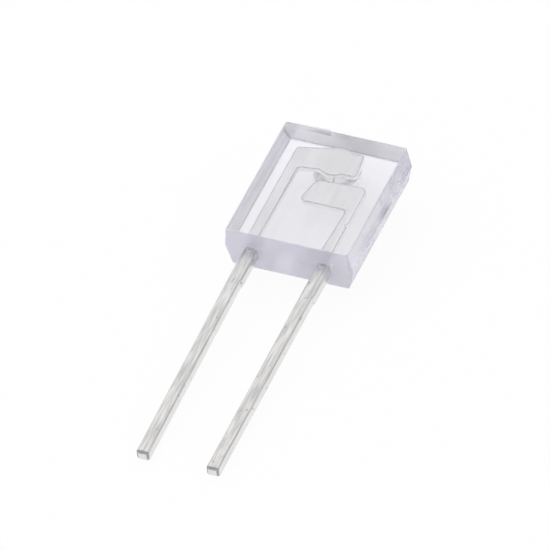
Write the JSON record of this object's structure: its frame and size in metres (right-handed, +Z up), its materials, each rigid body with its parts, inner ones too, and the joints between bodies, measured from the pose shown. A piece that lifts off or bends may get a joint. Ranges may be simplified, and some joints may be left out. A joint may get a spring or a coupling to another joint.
{
  "type": "side-looking infrared receiver",
  "caption": "Clear side-looking infrared receiver: a drafted moulded package with a flat back, a lens dome on the other face, a stamped leadframe inside and straight leads at one end.",
  "frame": {"origin": "middle of the part's footprint, on the surface it lies on", "axes": "+Z up, with the flat back on top and the lens dome below; -Y the way the leads point, nearly level; +X to the wire lead's side"},
  "size_m": [0.0044, 0.0146, 0.0024],
  "materials": {
    "clear_epoxy": "clear, faintly lilac, moulded gloss",
    "tinned_steel": "bright tin plate with draw marks",
    "silver_glue": "silver-filled, satin",
    "silicon": "polished dark grey",
    "gold": "drawn wire"
  },
  "bodies": {
    "root": {"epoxy_package": "clear_epoxy", "chip_lead": "tinned_steel", "wire_lead": "tinned_steel", "die_attach": "silver_glue", "receiver_chip": "silicon", "bond_wire": "gold"}
  },
  "joints": []
}
